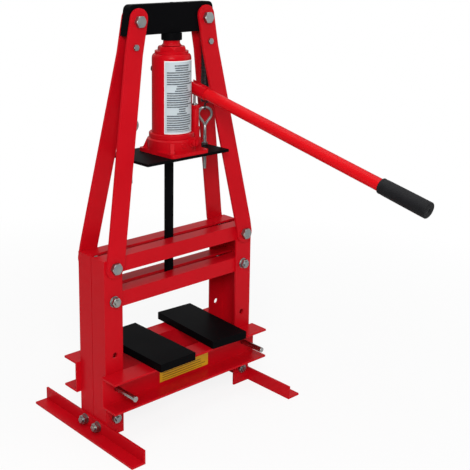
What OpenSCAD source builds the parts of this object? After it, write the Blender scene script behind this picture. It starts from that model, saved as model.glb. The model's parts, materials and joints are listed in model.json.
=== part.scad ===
// Bench-top hydraulic press: a bolted A-frame worked by a hand-pumped bottle jack.
// Millimetres, +Z up, front towards -Y. The origin is the middle of the press rod's lower face.
// Heights in the modules are above the bench, and from_tool() moves each piece to the origin.

/* [Frame] */
// Outer width across the uprights
frame_w = 355; // [330:1:400]
// Outer depth of the uprights
frame_d = 77; // [72:0.5:90]
// Height of the uprights
upright_h = 330; // [315:1:360]
// Leg of the upright angles across the front
upright_leg = 39; // [36:0.5:44]
// Thickness of all the red angles
steel_t = 4; // [3:0.25:5]
// Joint line between a front and a rear upright angle
seam_gap = 0.3; // [0.2:0.1:1]

/* [Feet] */
// Length of each foot, front to back
foot_len = 300; // [260:1:340]
// Height of the foot's upright leg
foot_leg_z = 26; // [24:0.5:30]
// Width of the foot's flat leg
foot_leg_x = 29; // [24:0.5:36]
// Spread of the two bolts in each foot
foot_bolt_gap = 38; // [34:1:44]
// Height of the foot bolts above the bench
foot_bolt_z = 15.5; // [14:0.5:17]

/* [Rails] */
// Leg of the four cross rails
rail_leg = 28; // [26:0.5:28.5]
// Step down from the upper rail's top to the lower rail's
rail_step = 64; // [58:1:70]
// Side play of the press rod in the slot between the rails
rod_play = 0.5; // [0.3:0.1:1]

/* [Side bars] */
// Width of the four slanting flat bars
bar_w = 37; // [34:0.5:38]
// Thickness of the flat bars
bar_t = 5; // [4:0.25:6]
// Lower bolts in from the frame's outer edge
bar_inset = 20.8; // [19.5:0.1:21.5]
// Lower bolts down from the top of the uprights
bar_drop = 15; // [14:0.5:16]
// Upper bolts, distance from the middle
bar_top_x = 78.4; // [74:0.2:82]
// Flat stretch past each lower bolt before the bar bends in
bar_flat_low = 22; // [20:1:30]
// Flat stretch past each upper bolt
bar_flat_top = 56; // [54:1:62]
// Bar past each upper bolt, to the centre of its round end
bar_end = 4.5; // [0:0.5:6]

/* [Crown] */
// Height of the crown's underside above the bench
crown_z = 708; // [690:1:730]
// Height of the crown
crown_h = 53; // [48:1:56]
// Depth of the crown between the bars
crown_d = 18; // [17:0.5:22]
// Half width at the top
crown_top_x = 94.5; // [90:0.5:96]
// Half width at the bottom
crown_low_x = 103; // [99:0.5:106]
// Radius of the upper corners
crown_r = 10; // [6:0.5:12]
// Thickness of the crown's plates and wrap strip
crown_t = 4; // [3:0.25:5]
// Upper bar bolts above the crown's underside
crown_bolt_z = 24; // [22:0.5:28]
// Diameter of the black seat cup under the crown
seat_dia = 37.3; // [35:0.1:40]
// Height of the seat cup
seat_h = 12.5; // [11:0.5:14]
// Depth of the seat cup's pocket
seat_pocket = 5; // [3:0.5:6]

/* [Bed] */
// Height of the bed's upper face
bed_top = 119.6; // [112:0.2:124]
// Height of each bed channel
bed_h = 59; // [52:0.5:62]
// Width of the channel flanges
bed_flange = 39; // [34:0.5:44]
// Length of the bed past the uprights on each side
bed_over = 9; // [4:0.5:14]
// Depth of the pin holes below the bed's upper face
pin_drop = 29.3; // [26:0.1:33]
// Pin holes in from the frame's outer edge
pin_inset = 21.7; // [20:0.1:23]
// Pitch from the pin to the spare holes above
pin_pitch = 61.7; // [56:0.1:70]
// Diameter of the bed pins
pin_dia = 10; // [9:0.1:11]
// Length of the bed pins
pin_len = 150; // [140:1:170]
// Length of pin standing out in front of the uprights
pin_out = 58; // [50:1:64]

/* [Arbor plates] */
// Width of each plate
arbor_w = 82; // [70:1:90]
// Length of each plate, front to back
arbor_l = 178; // [160:1:195]
// Thickness of the plates
arbor_t = 15; // [10:0.5:18]
// Middle of the left plate from the rod
arbor_left_x = -55; // [-60:1:-50]
// Middle of the right plate from the rod
arbor_right_x = 88.5; // [80:0.5:89]
// Turn of the right plate on the bed, degrees
arbor_turn = 4; // [0:0.5:4.5]

/* [Table and rod] */
// Half width of the moving table
table_x = 96; // [90:0.5:98]
// Depth of the table
table_d = 115; // [106:1:125]
// Thickness of the table
table_t = 5; // [4:0.25:6]
// Side of the square press rod
rod_w = 12.4; // [11:0.1:14]
// Height of the rod's lower end above the bench
rod_low_z = 236; // [232:0.5:240]

/* [Return springs] */
// Distance of the springs from the middle
spring_x = 88.4; // [86:0.2:89]
// Outside diameter of the springs
spring_dia = 16; // [12:0.5:17]
// Diameter of the spring wire
spring_wire = 2.6; // [2:0.1:3]
// Radius of the hooks, to the middle of the wire
hook_r = 6.4; // [6:0.1:7]
// Radius of the eye bolts, to the middle of the wire
eye_r = 11.5; // [10:0.1:12.5]
// Diameter of the eye bolt wire
eye_wire = 4; // [3.5:0.1:4.5]
// Height of the eye's middle above the table
eye_z = 59.3; // [52:0.5:64]
// Turn of the eyes round their shanks, degrees
eye_turn = -40; // [-90:1:90]
// Length of shank below the table
eye_below = 41; // [36:0.5:46]
// Diameter of the threaded shank
eye_shank = 6; // [5:0.1:6.5]

/* [Jack] */
// Jack axis from the rod, sideways
jack_x = 4; // [2:0.5:6]
// Jack axis from the rod, front to back
jack_y = -2; // [-4:0.5:0]
// Closed height from the table to the top of the screw
jack_h = 207.8; // [204:0.2:212]
// Outside diameter of the oil reservoir
tank_dia = 71.2; // [69:0.1:71.6]
// Wall of the reservoir
tank_t = 3; // [2.5:0.1:4]
// Inside diameter of the pressure cylinder
bore_dia = 34; // [32:0.1:36]
// Wall of the pressure cylinder
bore_wall = 4; // [3.5:0.1:4.5]
// Diameter of the ram
ram_dia = 28; // [26:0.1:28.5]
// Diameter of the extension screw
screw_dia = 16; // [14:0.1:18]
// Diameter of the screw's head
head_dia = 30.3; // [29:0.1:31]
// Height of the screw's head
head_h = 14.9; // [13.5:0.1:16]
// Thickness of the base's foot flange
base_t = 6.5; // [5.5:0.5:8]
// Half width of the base on the left
base_left = 43; // [40:0.5:46]
// Half width of the base on the right
base_right = 45; // [42:0.5:50]
// Base in front of the jack axis
base_front = 54.5; // [52:0.5:55]
// Base behind the jack axis
base_back = 43; // [40:0.5:50]
// Height of the base casting
base_h = 37; // [35:0.5:38]
// Radius of the casting's collar
collar_r = 41; // [40:0.1:42]

/* [Pump] */
// Direction of the lever seen from above, degrees
pump_turn = -87; // [-90:0.5:-85]
// Pump axis to the right of the jack axis
pump_x = 50.5; // [50:0.1:52]
// Pump axis from the jack axis, front to back
pump_y = -6; // [-8:0.5:-5]
// Diameter of the pump plunger
plunger_dia = 10; // [9:0.1:11]
// Outside diameter of the pump cylinder
pump_dia = 17; // [16.4:0.1:17.4]
// Height of the pump cylinder's top above the table
pump_top = 75; // [70:0.5:76]
// Lever pivot behind the pump axis
pin_arm = 12.4; // [12:0.1:13]
// Height of the lever pivot above the table
pivot_z = 112.5; // [111:0.1:116]
// Plunger pin below the lever pivot, lever down
pin_sag = 5.1; // [4.6:0.1:5.4]
// Diameter of the linkage pins
link_pin = 4.5; // [4:0.1:5]

/* [Lever] */
// Downward slope of the resting lever, degrees
lever_tilt = 14.6; // [12:0.2:17]
// Lever axis above its pivot
lever_rise = 3.3; // [2.6:0.1:3.5]
// Outside diameter of the lever tube
tube_dia = 20.9; // [20:0.1:21.6]
// Wall of the lever tube
tube_t = 1.5; // [1.2:0.1:2]
// Length of the lever tube
tube_len = 494; // [440:1:540]
// Start of the tube from the pivot
tube_start = 21.5; // [21:0.1:24]
// Length of tube inside the socket
tube_in = 23.5; // [20:0.5:26]
// Wall of the socket round the tube
socket_t = 1.9; // [1.5:0.1:2.2]
// Diameter of the foam grip
grip_dia = 27; // [26:0.1:32]
// Length of the foam grip
grip_len = 88; // [80:0.5:110]
// Foam past the end of the tube
grip_over = 7; // [5:0.5:10]

/* [Fits] */
// Radial clearance of a sliding ram, plunger or pivot
run_fit = 0.05; // [0.03:0.01:0.08]
// Gap between loose pieces and what carries them
loose_gap = 0.3; // [0.25:0.05:0.4]
// Radial clearance of bolts and nuts in their holes
bolt_gap = 0.3; // [0.2:0.05:0.5]

/* [Hidden] */

$fn = 64;
red = "#c4101c";
black = "#141416";
zinc = "#b9bcc0";
chrome = "#d5d8dc";

fx = frame_w / 2;                       // outer face of the uprights
fy = frame_d / 2;                       // front and rear face of the uprights
side_leg = fy - seam_gap / 2;           // leg of the upright angles along the side
bolt_x = fx - bar_inset;
bar_z = upright_h - bar_drop;
rail_x = fx - steel_t;                  // the rails end at the uprights' side legs
rail_y = fy - steel_t;                  // outer face of the rails
rod_slot = rod_w / 2 + rod_play;
rail_flat = rail_y - rod_slot;          // width of each rail's top flange
low_rail_z = upright_h - rail_step;     // top of the lower rails
low_bolt_z = low_rail_z - rail_leg / 2 + 1;
tie_z = foot_leg_z + 6.5;               // tie bolts stand just above the feet
crown_y = crown_d / 2;
top_bolt_z = crown_z + crown_bolt_z;
bar_run = norm([bolt_x - bar_top_x, top_bolt_z - bar_z]);
bar_lean = atan2(bolt_x - bar_top_x, top_bolt_z - bar_z);
spring_drop = 43.5;                     // spring bolts below the crown bolts, on the bars' middle line
spring_pin_z = top_bolt_z - spring_drop;
spring_pin_x = bar_top_x + tan(bar_lean) * spring_drop;
pin_z = bed_top - pin_drop;
pin_x = fx - pin_inset;
web_y = fy + steel_t;                   // outer face of the bed channels' webs

m12 = 12; m12_af = 19; m12_k = 7.5;     // metric hexagon sizes
m10 = 10; m10_af = 16; m10_k = 6.4;
m6 = 6; m6_af = 10; m6_k = 4;
thread_gap = 0.05;

head_top = crown_z - seat_h + seat_pocket;
table_z = head_top - jack_h;            // top of the table, foot of the jack
screw_low = jack_h / 2;                 // lower end of the extension screw inside the ram
nut_top = jack_h - head_h - 0.6;        // jack heights are above the table
hex_h = 8.3;
nut_flange_h = 5;
tank_top = nut_top - hex_h - nut_flange_h;
shoulder = 8.5;
nut_flange_r = 30.35;
hex_r = 26.65;
tank_r = tank_dia / 2;
tank_floor = base_h - 10;
bore_r = bore_dia / 2;
bore_out = bore_r + bore_wall;
bore_floor = 12;
piston_h = 18;
label_t = 0.25;
pin_span = norm([pin_arm, pin_sag]);
fork_in = 5.5;                          // half gap between the socket's cheeks
socket_r = tube_dia / 2 + run_fit + socket_t;
cheek_r = 5.2;                          // rounded end of the socket round its pivot
cheek_out = 9;
grip_edge = 1.8;                        // chamfer round the grip's end
eye_clear = 8;                          // slot past the plunger pin
neck_dia = 5;                           // plunger above its pump, where the lever swings over it
neck_len = 24;
link_half = 4;
link_r = 4.6;
link_w = 7.4;                           // link strap, clear of the pump in front of it
lug_back = 11;                          // lug behind the lever pivot
gland_h = 6;
lug_top = 50;
low_pin_z = 43;
foot_r = 7;                             // corners of the foot flange
pump_boss_r = 12;
pump_boss_h = 20;
pump_neck_r = 10;
pump_neck_h = 40;
bed_label_w = 120;
bed_label_h = 27;
bed_label_x = 3;                        // middle of the bed's label
lug_half = 8.3;                         // half width of the lug that holds the link
barrel_r = collar_r + 3;                // lower, wider step of the casting
valve_x = 12;
valve_z = 22;
valve_dia = 8;
valve_face = barrel_r + 2;              // front of the boss that holds the release valve

// ---------- shared shapes ----------
module from_tool() translate([0, 0, -rod_low_z]) children();

// Place children with their +Z pointing out of the front (side = -1) or the rear (side = 1).
module facing(side, x, y, z) translate([x, y, z]) rotate([side < 0 ? 90 : -90, 0, 0]) children();

// Mirror the front right corner's children to another corner of the frame.
module corner(side_x, side_y = -1) mirror([side_x < 0 ? 1 : 0, 0, 0])
    mirror([0, side_y > 0 ? 1 : 0, 0]) children();

// Hexagon with its top corners rounded off, as on bolt heads and nuts.
module hex_block(af, h) intersection() {
    cylinder(d = af / cos(30), h = h, $fn = 6);
    cylinder(r1 = af * 0.5 + h * 1.2, r2 = af * 0.5, h = h);
}

module hex_bolt(d, af, k, len) {
    hex_block(af, k);
    translate([0, 0, -len]) cylinder(d = d, h = len + 0.01);
}

module hex_nut(d, af, k) difference() {
    hex_block(af, k);
    translate([0, 0, -1]) cylinder(d = d + 2 * thread_gap, h = k + 2);
}

module washer(d, out, t) difference() {
    cylinder(d = out, h = t);
    translate([0, 0, -1]) cylinder(d = d + 2 * thread_gap, h = t + 2);
}

module hole_y(d, x, z) translate([x, 0, z]) rotate([90, 0, 0]) cylinder(d = d, h = 600, center = true);

module box(lo, hi) translate(lo) cube(hi - lo);

// ---------- frame ----------
module upright(side_x, side_y) color(red) difference() {
    corner(side_x, side_y) {
        box([fx - upright_leg, -fy, 0], [fx, -rail_y, upright_h]);
        box([rail_x, -fy, 0], [fx, -fy + side_leg, upright_h]);
    }
    hole_y(m12 + 2 * bolt_gap, side_x * bolt_x, bar_z);
    hole_y(m10 + 2 * bolt_gap, side_x * bolt_x, low_bolt_z);
    hole_y(m10 + 2 * bolt_gap, side_x * bolt_x, tie_z);
    for (z = [pin_z, pin_z + pin_pitch]) hole_y(pin_dia + 2 * loose_gap, side_x * pin_x, z);
    foot_holes(side_x);
}

module foot_holes(side_x) for (s = [-1, 1]) translate([side_x * fx, s * foot_bolt_gap / 2, foot_bolt_z])
    rotate([0, 90, 0]) cylinder(d = m10 + 2 * bolt_gap, h = 40, center = true);

module foot(side_x) color(red) difference() {
    corner(side_x) {
        box([fx, -foot_len / 2, 0], [fx + steel_t, foot_len / 2, foot_leg_z]);
        box([fx, -foot_len / 2, 0], [fx + foot_leg_x, foot_len / 2, steel_t]);
    }
    foot_holes(side_x);
}

// Angle across the frame: side_y picks front or rear, top its upper face.
module rail(side_y, top, d, z) color(red) difference() {
    corner(1, side_y) {
        box([-rail_x, -rail_y, top - rail_leg], [rail_x, -rail_y + steel_t, top]);
        box([-rail_x, -rail_y, top - steel_t], [rail_x, -rail_y + rail_flat, top]);
    }
    for (s = [-1, 1]) hole_y(d + 2 * bolt_gap, s * bolt_x, z);
}

// Flat bar with round ends, bent twice so that it lies flat on the upright and on the crown.
module flat_bar(side_x, side_y) color(red) difference() {
    corner(side_x, side_y)
        translate([bolt_x, 0, bar_z]) rotate([0, -bar_lean, 0]) intersection() {
            translate([0, 60 - fy, 0]) rotate([90, 0, 0]) linear_extrude(120) {
                circle(d = bar_w);
                translate([0, bar_run + bar_end]) circle(d = bar_w);
                translate([-bar_w / 2, 0]) square([bar_w, bar_run + bar_end]);
            }
            rotate([90, 0, 90]) translate([0, 0, -bar_w]) linear_extrude(2 * bar_w)
                polygon(concat(bar_face(0), [for (i = [3:-1:0]) bar_face(bar_t)[i]]));
        }
    hole_y(m12 + 2 * bolt_gap, side_x * bolt_x, bar_z);
    hole_y(m12 + 2 * bolt_gap, side_x * bar_top_x, top_bolt_z);
    hole_y(m6 + 2 * bolt_gap, side_x * spring_pin_x, spring_pin_z);
}

// One face of the front bar seen from the side: depth, then distance along the bar.
function bar_face(t) = [[-fy - t, -bar_w], [-fy - t, bar_flat_low],
    [-crown_y - t, bar_run - bar_flat_top], [-crown_y - t, bar_run + bar_end + bar_w]];

// ---------- crown ----------
// Outline of the crown, drawn in by inset on every side but the bottom.
function crown_outline(inset) = let (
        slope = atan2(crown_low_x - crown_top_x, crown_h),
        top = crown_h - inset, r = max(crown_r - inset, 1),
        edge = crown_low_x - inset / cos(slope),
        cx = edge - tan(slope) * (top - r) - r / cos(slope), cz = top - r,
        right = [for (a = [slope : (90 - slope) / 6 : 90.01]) [cx + r * cos(a), cz + r * sin(a)]])
    concat([[edge, 0]], right, [for (i = [6:-1:0]) [-right[i][0], right[i][1]]], [[-edge, 0]]);

module crown_bore(d) for (s = [-1, 1]) hole_y(d, s * bar_top_x, top_bolt_z);

module crown_plate(y0) color(black) difference() {
    translate([0, y0 + crown_t, crown_z]) rotate([90, 0, 0]) linear_extrude(crown_t)
        polygon(crown_outline(0));
    crown_bore(m12 + 2 * bolt_gap);
}

module crown_front_plate() crown_plate(-crown_y);
module crown_rear_plate() crown_plate(crown_y - crown_t);

module crown_strip() color(black) difference() {
    translate([0, crown_y - crown_t, crown_z]) rotate([90, 0, 0])
        linear_extrude(crown_d - 2 * crown_t) difference() {
            polygon(crown_outline(0));
            translate([0, -0.01]) polygon(crown_outline(crown_t));
        }
    translate([jack_x, jack_y, crown_z]) cylinder(d = m6 + 2 * bolt_gap, h = crown_h + 5);
}

module crown_spacers() color(zinc) for (s = [-1, 1]) facing(1, s * bar_top_x, -crown_y + crown_t, top_bolt_z)
    washer(m12 + 2 * bolt_gap - 2 * thread_gap, m12_af + 1, crown_d - 2 * crown_t);

module crown_bolts() color(zinc) for (s = [-1, 1])
    facing(-1, s * bar_top_x, -crown_y - bar_t, top_bolt_z)
        hex_bolt(m12, m12_af, m12_k, crown_d + 2 * bar_t + m12_k + 4);

module crown_nuts() color(zinc) for (s = [-1, 1])
    facing(1, s * bar_top_x, crown_y + bar_t, top_bolt_z) hex_nut(m12, m12_af, m12_k + 2);

// Seat cup, plugged into the crown from below.
module jack_seat() color(black) translate([jack_x, jack_y, crown_z]) {
    difference() {
        translate([0, 0, -seat_h]) cylinder(d = seat_dia, h = seat_h);
        translate([0, 0, -seat_h - 1]) cylinder(d = head_dia + 2 * loose_gap, h = seat_pocket + 1);
    }
    cylinder(d = m6, h = crown_h + 1);
}

// ---------- frame fasteners ----------
module spring_bolts() color(zinc) for (s = [-1, 1]) {
    facing(-1, s * spring_pin_x, -crown_y - bar_t, spring_pin_z)
        hex_bolt(m6, m6_af, m6_k, crown_d + 2 * bar_t + m6_k + 3);
    facing(1, s * spring_pin_x, crown_y + bar_t, spring_pin_z) hex_nut(m6, m6_af, m6_k + 1);
}

bar_grip = bar_t + 2 * steel_t;         // bar, upright and rail clamped together
module bar_bolts() color(zinc) for (s = [-1, 1], f = [-1, 1])
    facing(f, s * bolt_x, f * (fy + bar_t), bar_z) hex_bolt(m12, m12_af, m12_k, bar_grip + m12_k + 4);

module bar_nuts() color(zinc) for (s = [-1, 1], f = [-1, 1])
    facing(-f, s * bolt_x, f * (rail_y - steel_t), bar_z) hex_nut(m12, m12_af, m12_k + 2);

// Lower rail bolts: heads inside, washers and nuts on the faces of the uprights.
module rail_bolts() color(zinc) for (s = [-1, 1], f = [-1, 1]) {
    facing(-f, s * bolt_x, f * (rail_y - steel_t), low_bolt_z)
        hex_bolt(m10, m10_af, m10_k, 2 * steel_t + 1.5 + m10_k + 4);
    facing(f, s * bolt_x, f * fy, low_bolt_z) {
        washer(m10, 20, 1.5);
        translate([0, 0, 1.5 + loose_gap]) hex_nut(m10, m10_af, m10_k + 1);
    }
}

// Long bolts that tie each front upright angle to the rear one, with their nuts in front.
module tie_bolts() color(zinc) for (s = [-1, 1]) {
    facing(1, s * bolt_x, fy, tie_z) hex_bolt(m10, m10_af, m10_k, frame_d + m10_k + 4);
    facing(-1, s * bolt_x, -fy, tie_z) hex_nut(m10, m10_af, m10_k + 1);
}

module tie_spacers() color(zinc) for (s = [-1, 1]) facing(1, s * bolt_x, -rail_y, tie_z)
    washer(m10 + 2 * bolt_gap - 2 * thread_gap, 15, 2 * rail_y);

module foot_bolts() color(zinc) for (s = [-1, 1], y = [-1, 1])
    translate([s * rail_x, y * foot_bolt_gap / 2, foot_bolt_z]) {
        rotate([0, -90 * s, 0]) hex_bolt(m10, m10_af, m10_k, 2 * steel_t + 1.5 + m10_k + 5);
        translate([s * 2 * steel_t, 0, 0]) rotate([0, 90 * s, 0]) {
            washer(m10, 19, 1.5);
            translate([0, 0, 1.5 + loose_gap]) hex_nut(m10, m10_af, m10_k + 1);
        }
    }

// ---------- bed ----------
module bed_channel(side_y) color(red) difference() {
    corner(1, side_y) {
        x = fx + bed_over;
        box([-x, -web_y, bed_top - bed_h], [x, -fy, bed_top]);
        box([-x, -fy - bed_flange, bed_top - steel_t], [x, -fy, bed_top]);
        box([-x, -fy - bed_flange, bed_top - bed_h], [x, -fy, bed_top - bed_h + steel_t]);
    }
    for (s = [-1, 1]) hole_y(pin_dia + 2 * loose_gap, s * pin_x, pin_z);
}

// Bare label on the web of the front channel.
module bed_label() color("#e6b61e")
    translate([bed_label_x - bed_label_w / 2, -web_y - label_t, bed_top - (bed_h + bed_label_h) / 2 - 7])
        cube([bed_label_w, label_t, bed_label_h]);

module bed_pin(s) color(chrome) facing(1, s * pin_x, -fy - pin_out, pin_z) {
    cylinder(d = pin_dia, h = pin_len);
}

module arbor_plate(x, y, turn) color(black) translate([x, y, bed_top + loose_gap]) rotate([0, 0, -turn])
    translate([-arbor_w / 2, -arbor_l / 2, 0]) cube([arbor_w, arbor_l, arbor_t]);

// ---------- moving table, rod and springs ----------
module press_table() color(black) difference() {
    box([-table_x, -table_d / 2, table_z - table_t], [table_x, table_d / 2, table_z]);
    cylinder(d = rod_w - 4 + 2 * thread_gap, h = 1000);
    for (s = [-1, 1]) translate([s * spring_x, 0, 0]) cylinder(d = eye_shank + 2 * bolt_gap, h = 1000);
}

module press_rod() color(black) {
    box([-rod_w / 2, -rod_w / 2, rod_low_z], [rod_w / 2, rod_w / 2, table_z - table_t]);
    translate([0, 0, table_z - table_t]) cylinder(d = rod_w - 4, h = table_t);
}

module ring(r, wire) rotate_extrude() translate([r, 0]) circle(d = wire, $fn = 24);

module eye_bolt(s) color(zinc) translate([s * spring_x, 0, table_z]) {
    translate([0, 0, eye_z]) rotate([90, 0, eye_turn]) ring(eye_r, eye_wire);
    translate([0, 0, -table_t - eye_below]) cylinder(d = eye_shank, h = table_t + eye_below + eye_z - eye_r);
}

module eye_nuts() color(zinc) for (s = [-1, 1]) translate([s * spring_x, 0, table_z]) {
    hex_nut(eye_shank, m6_af, m6_k + 1);
    translate([0, 0, -table_t]) mirror([0, 0, 1]) hex_nut(eye_shank, m6_af, m6_k + 1);
}

// Closed coil as a sleeve, with a ring at each end for its hook.
hook_low_z = table_z + eye_z + eye_r - eye_wire / 2 - spring_wire / 2 - loose_gap + hook_r;
hook_top_z = spring_pin_z + m6 / 2 + spring_wire / 2 + loose_gap - hook_r;
module return_spring(s) color("#232325") translate([s * (spring_x + spring_pin_x) / 2, 0, 0]) {
    translate([0, 0, hook_low_z]) rotate([90, 0, 90 + eye_turn]) ring(hook_r, spring_wire);
    translate([0, 0, hook_top_z]) rotate([90, 0, 0]) ring(hook_r, spring_wire);
    translate([0, 0, hook_low_z + hook_r - 1]) difference() {
        cylinder(d = spring_dia, h = hook_top_z - hook_low_z - 2 * hook_r + 2);
        translate([0, 0, 2]) cylinder(d = spring_dia - 2 * spring_wire, h = hook_top_z - hook_low_z - 2 * hook_r - 2);
    }
}

// ---------- jack ----------
module jack() translate([jack_x, jack_y, table_z]) children();

// Frame of the pump: origin on its axis at the table, X the way the lever points.
module pump_side() jack() translate([pump_x, pump_y, 0]) rotate([0, 0, pump_turn]) children();

module jack_base() color(red) {
    difference() {
        union() {
            jack() {
                foot_plate();
                rotate_extrude() polygon([[0, 0], [barrel_r, 0], [barrel_r, base_h - 12], [collar_r - 1, base_h - 9],
                    [collar_r, base_h - 8], [collar_r, base_h - 1.5], [collar_r - 1.5, base_h], [0, base_h]]);
                translate([valve_x, -valve_face, valve_z]) rotate([-90, 0, 0]) cylinder(r = 9, h = 26);
                for (c = [[-1, -1], [-1, 1], [1, 1]]) corner_rib(c);
            }
            jack() box([collar_r - 11, pump_y - pump_boss_r + 0.8, 0],
                [pump_x + lug_half - 1, pump_y + pin_arm + lug_back - 1.5, pump_boss_h - 2]);
            pump_side() {
                cylinder(r = pump_boss_r, h = pump_boss_h);
                cylinder(r = pump_neck_r, h = pump_neck_h);
                box([-pin_arm - lug_back, -lug_half, 0.5], [-pump_dia / 2 - loose_gap, lug_half, lug_top]);
            }
        }
        jack() {
            translate([0, 0, tank_floor]) cylinder(r = tank_r + 2 * thread_gap, h = 200);
            translate([0, 0, bore_floor]) cylinder(r = bore_out + thread_gap, h = 200);
            translate([valve_x, -valve_face - 1, valve_z]) rotate([-90, 0, 0]) cylinder(d = valve_dia + 2 * run_fit, h = 22);
        }
        pump_side() {
            translate([0, 0, 10]) cylinder(d = pump_dia + 2 * thread_gap, h = 60);
            translate([-pin_arm - link_r - 1.5, -link_half - loose_gap, low_pin_z - 8])
                cube([20, 2 * (link_half + loose_gap), 60]);
            low_pin(link_pin + 2 * thread_gap, 40);
        }
    }
}

// Foot flange with rounded corners.
module foot_plate() linear_extrude(base_t) polygon([for (c = [[1, 1, 0], [-1, 1, 90], [-1, -1, 180], [1, -1, 270]],
    a = [0 : 15 : 90]) [(c[0] > 0 ? base_right : base_left) * c[0] - foot_r * c[0] + foot_r * cos(a + c[2]),
    (c[1] > 0 ? base_back : base_front) * c[1] - foot_r * c[1] + foot_r * sin(a + c[2])]]);

// Web running down from the collar to one corner of the flange.
module corner_rib(c) {
    x = c[0] < 0 ? base_left : base_right;
    y = c[1] < 0 ? base_front : base_back;
    rotate([0, 0, atan2(c[1] * y, c[0] * x)]) rotate([90, 0, 0]) translate([0, 0, -3.5])
        linear_extrude(7) polygon([[collar_r - 3, 0], [norm([x, y]) - 9, 0], [norm([x, y]) - 9, base_t + 1],
            [barrel_r + 1, base_h - 14], [collar_r - 3, base_h - 14]]);
}

function tank_curve(r, h, top) = [for (a = [0:15:90]) [r - shoulder + shoulder * cos(a) * 0.6 + shoulder * 0.4,
    top - h + h * sin(a)]];
module jack_reservoir() color(red) jack() difference() {
    rotate_extrude($fn = 96) polygon(concat([[tank_r, tank_floor]], tank_curve(tank_r, shoulder, tank_top),
        [[nut_flange_r - 4, tank_top], [nut_flange_r - 4, tank_top - tank_t]],
        [for (i = [6:-1:0]) tank_curve(tank_r - tank_t, shoulder, tank_top - tank_t)[i]],
        [[tank_r - tank_t, tank_floor]]));
    plug_axis() translate([0, 0, -20]) cylinder(d = 8 + 2 * thread_gap, h = 30);
}

module plug_axis() rotate([0, 0, 120]) translate([tank_r, 0, 150]) rotate([0, 90, 0]) children();
module filler_plug() color(black) jack() plug_axis() {
    translate([0, 0, -tank_t - 2]) cylinder(d = 8, h = tank_t + 2.5);
    translate([0, 0, 0.5]) cylinder(d1 = 11, d2 = 9, h = 2.5);
}

module jack_cylinder() color(zinc) jack() difference() {
    translate([0, 0, bore_floor]) cylinder(r = bore_out, h = tank_top - bore_floor);
    translate([0, 0, bore_floor + 3]) cylinder(r = bore_r, h = 200);
    translate([0, 0, bore_floor - 1]) cylinder(r = 4, h = 6);
}

module top_nut() color(red) jack() difference() {
    union() {
        translate([0, 0, tank_top]) cylinder(r = nut_flange_r, h = nut_flange_h);
        translate([0, 0, tank_top + nut_flange_h]) intersection() {
            cylinder(r = hex_r, h = hex_h, $fn = 6);
            cylinder(r1 = hex_r + 3, r2 = hex_r - 3.5, h = hex_h);
        }
        translate([0, 0, tank_top - 6]) cylinder(r = nut_flange_r - 4 - thread_gap, h = 6.01);
    }
    cylinder(r = ram_dia / 2 + run_fit, h = 300);
    translate([0, 0, tank_top - 7]) cylinder(r = bore_out + thread_gap, h = 7);
}

module jack_ram() color(chrome) jack() difference() {
    union() {
        translate([0, 0, bore_floor + 4]) cylinder(d = ram_dia, h = nut_top - bore_floor - 4 + 0.3);
        translate([0, 0, bore_floor + 4]) cylinder(r = bore_r - run_fit, h = piston_h);
    }
    translate([0, 0, bore_floor + 10]) difference() {
        cylinder(r = bore_r + 2, h = 5);
        translate([0, 0, -1]) cylinder(r = bore_r - 3, h = 7);
    }
    translate([0, 0, screw_low - 4]) cylinder(d = screw_dia + 2 * thread_gap, h = jack_h);
}

module ram_seal() color(black) jack() translate([0, 0, bore_floor + 10]) difference() {
    cylinder(r = bore_r - run_fit, h = 5);
    translate([0, 0, -1]) cylinder(r = bore_r - 3, h = 7);
}

module extension_screw() color(red) jack() {
    translate([0, 0, screw_low]) cylinder(d = screw_dia, h = jack_h - head_h - screw_low + 0.1);
    translate([0, 0, jack_h - head_h]) cylinder(d = head_dia, h = head_h - 1.5);
    translate([0, 0, jack_h - head_h]) cylinder(d1 = head_dia + 7, d2 = head_dia, h = 4);
    translate([0, 0, jack_h - 1.5]) cylinder(d1 = head_dia, d2 = head_dia - 3, h = 1.5);
}

// Printed label wrapped round the front of the reservoir, left bare here.
label_from = -151;
label_to = -43;
module jack_label() color("#e9ecef") jack() translate([0, 0, base_h + 1]) difference() {
    label_h = tank_top - shoulder - 2 - base_h - 1;
    cylinder(r = tank_r + thread_gap + label_t, h = label_h, $fn = 96);
    translate([0, 0, -1]) cylinder(r = tank_r + thread_gap, h = label_h + 2, $fn = 96);
    translate([0, 0, -1]) linear_extrude(label_h + 2) polygon(concat([[0, 0]],
        [for (i = [0:9]) let (a = label_to + (label_from + 360 - label_to) * i / 9) 80 * [cos(a), sin(a)]]));
}

// ---------- pump and linkage ----------
module pump_cylinder() color(red) pump_side() difference() {
    union() {
        translate([0, 0, 10]) cylinder(d = pump_dia, h = pump_top - 10);
        translate([0, 0, pump_top]) rotate([0, 0, 30]) cylinder(d = pump_dia / cos(30), h = gland_h, $fn = 6);
    }
    translate([0, 0, 14]) cylinder(d = plunger_dia + 2 * run_fit, h = pump_top);
}

module at_pivot() translate([-pin_arm, 0, pivot_z]) children();
module low_pin(d, len) translate([-pin_arm - link_r + link_w / 2, 0, low_pin_z]) rotate([90, 0, 0])
    cylinder(d = d, h = len, center = true);

module pump_link() color("#8c0f18") pump_side() difference() {
    union() {
        translate([-pin_arm - link_r, -link_half, low_pin_z - 6])
            cube([link_w, 2 * link_half, pivot_z - low_pin_z + 6]);
        at_pivot() rotate([90, 0, 0]) cylinder(r = link_r, h = 2 * link_half, center = true);
    }
    at_pivot() rotate([90, 0, 0]) cylinder(d = link_pin + 2 * run_fit, h = 40, center = true);
    low_pin(link_pin + 2 * run_fit, 40);
}

module link_pins() color(zinc) pump_side() {
    at_pivot() rotate([90, 0, 0]) cylinder(d = link_pin, h = 24, center = true);
    low_pin(link_pin, 20);
}

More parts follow.
